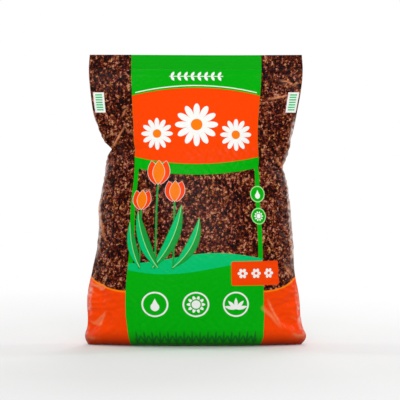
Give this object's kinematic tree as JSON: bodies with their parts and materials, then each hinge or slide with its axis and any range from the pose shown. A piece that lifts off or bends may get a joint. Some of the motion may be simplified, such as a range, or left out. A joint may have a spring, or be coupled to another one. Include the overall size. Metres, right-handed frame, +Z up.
{
  "type": "bag of peat",
  "caption": "Sealed plastic film bag full of peat, standing on its flat base, with a flat welded top above the fill.",
  "frame": {"origin": "on the floor, under the middle of the standing bag's box", "axes": "+Z up, +X to the right as the bag is seen from its front, the front faces -Y"},
  "size_m": [0.3648, 0.1308, 0.48],
  "materials": {
    "printed_film": "semi-gloss printed plastic film, creased"
  },
  "bodies": {
    "root": {"peat_bag": "printed_film"}
  },
  "joints": []
}
